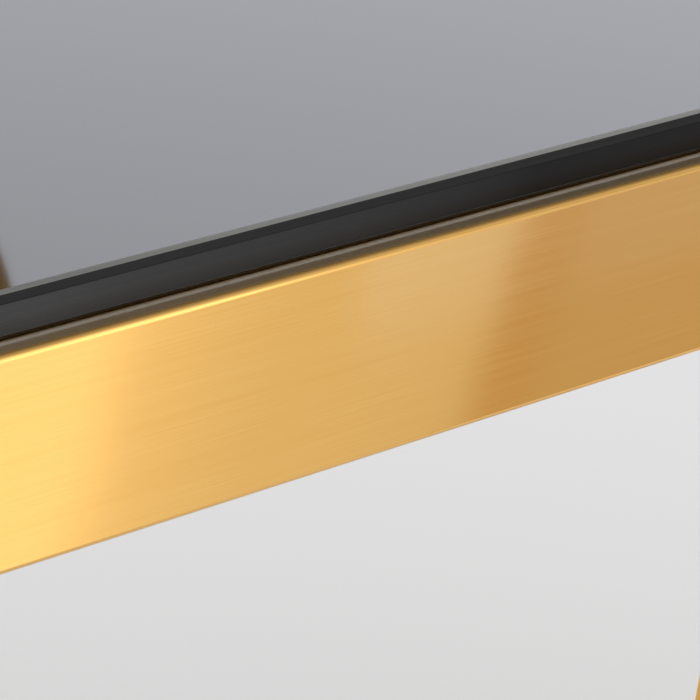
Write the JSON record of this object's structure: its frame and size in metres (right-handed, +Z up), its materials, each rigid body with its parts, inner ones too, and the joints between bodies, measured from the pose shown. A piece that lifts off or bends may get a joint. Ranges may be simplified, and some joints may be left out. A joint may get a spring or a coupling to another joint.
{
  "type": "vanity table with mirror",
  "caption": "Vanity table with a black glass top on a brushed gold flat-tube frame, two hanging drawers and a round tilting mirror on a half-round yoke behind the top",
  "frame": {"origin": "on the floor, under the middle of the whole object's box", "axes": "+Z up; the front with the drawers faces -Y; X runs along the table's width, +X to the right as seen from the front"},
  "size_m": [1.4, 0.4966, 1.355],
  "materials": {
    "black_glass": "polished black glass, ground arris",
    "foam_tape": "matt foam",
    "brushed_gold": "brushed lengthwise, satin",
    "zinc_steel": "zinc plated",
    "mirror_glass": "silvered glass",
    "black_lacquer": "black satin lacquer on board",
    "drawer_wood": "clear satin birch",
    "black_plastic": "moulded nylon"
  },
  "bodies": {
    "frame": {"upper_glass": "black_glass", "lower_glass": "black_glass", "mounting_tape": "foam_tape", "front_rail": "brushed_gold", "back_rail": "brushed_gold", "case_bearers": "brushed_gold", "corner_brackets": "zinc_steel", "bracket_screws": "zinc_steel", "case_screws": "zinc_steel", "mirror_yoke": "brushed_gold", "yoke_bushes": "black_plastic", "mirror_post": "brushed_gold", "post_end_cap": "black_plastic", "post_bolts": "zinc_steel", "left_side_rail": "brushed_gold", "left_floor_runner": "brushed_gold", "left_front_leg": "brushed_gold", "left_back_leg": "brushed_gold", "left_case_top": "black_lacquer", "left_case_sides": "black_lacquer", "left_case_bottom": "black_lacquer", "left_case_back": "black_lacquer", "left_slide_outer": "zinc_steel", "right_side_rail": "brushed_gold", "right_floor_runner": "brushed_gold", "right_front_leg": "brushed_gold", "right_back_leg": "brushed_gold", "right_case_top": "black_lacquer", "right_case_sides": "black_lacquer", "right_case_bottom": "black_lacquer", "right_case_back": "black_lacquer", "right_slide_outer": "zinc_steel"},
    "left_drawer": {"left_drawer_front": "black_lacquer", "left_drawer_sides": "drawer_wood", "left_drawer_ends": "drawer_wood", "left_drawer_bottom": "drawer_wood", "left_drawer_knob": "brushed_gold", "left_knob_screw": "zinc_steel", "left_slide_inner": "zinc_steel"},
    "left_slide_carriage": {"left_slide_middle": "zinc_steel"},
    "right_drawer": {"right_drawer_front": "black_lacquer", "right_drawer_sides": "drawer_wood", "right_drawer_ends": "drawer_wood", "right_drawer_bottom": "drawer_wood", "right_drawer_knob": "brushed_gold", "right_knob_screw": "zinc_steel", "right_slide_inner": "zinc_steel"},
    "right_slide_carriage": {"right_slide_middle": "zinc_steel"},
    "mirror": {"mirror_glass": "mirror_glass", "mirror_backing": "black_lacquer", "mirror_ring": "brushed_gold", "ring_screws": "zinc_steel", "pivot_pins": "zinc_steel", "pivot_caps": "brushed_gold", "friction_washers": "black_plastic"},
    "left_front_foot_screw": {"left_front_foot": "black_plastic"},
    "left_back_foot_screw": {"left_back_foot": "black_plastic"},
    "right_front_foot_screw": {"right_front_foot": "black_plastic"},
    "right_back_foot_screw": {"right_back_foot": "black_plastic"}
  },
  "joints": [
    {"name": "left_drawer_slide", "type": "slide", "parent": "frame", "child": "left_drawer", "axis": [0, -1, 0], "range_m": [0, 0.34]},
    {"name": "left_carriage_slide", "type": "slide", "parent": "frame", "child": "left_slide_carriage", "axis": [0, -1, 0], "range_m": [0, 0.17]},
    {"name": "right_drawer_slide", "type": "slide", "parent": "frame", "child": "right_drawer", "axis": [0, -1, 0], "range_m": [0, 0.34]},
    {"name": "right_carriage_slide", "type": "slide", "parent": "frame", "child": "right_slide_carriage", "axis": [0, -1, 0], "range_m": [0, 0.17]},
    {"name": "mirror_tilt", "type": "hinge", "parent": "frame", "child": "mirror", "pos_m": [0, 0.235, 1.12], "axis": [1, 0, 0], "range_deg": [-30, 30]},
    {"name": "left_front_foot_height", "type": "slide", "parent": "frame", "child": "left_front_foot_screw", "axis": [0, 0, -1], "range_m": [0, 0.01]},
    {"name": "left_back_foot_height", "type": "slide", "parent": "frame", "child": "left_back_foot_screw", "axis": [0, 0, -1], "range_m": [0, 0.01]},
    {"name": "right_front_foot_height", "type": "slide", "parent": "frame", "child": "right_front_foot_screw", "axis": [0, 0, -1], "range_m": [0, 0.01]},
    {"name": "right_back_foot_height", "type": "slide", "parent": "frame", "child": "right_back_foot_screw", "axis": [0, 0, -1], "range_m": [0, 0.01]}
  ],
  "couplings": [
    {"joint": "left_carriage_slide", "follows": "left_drawer_slide", "ratio": 0.5},
    {"joint": "right_carriage_slide", "follows": "right_drawer_slide", "ratio": 0.5}
  ]
}
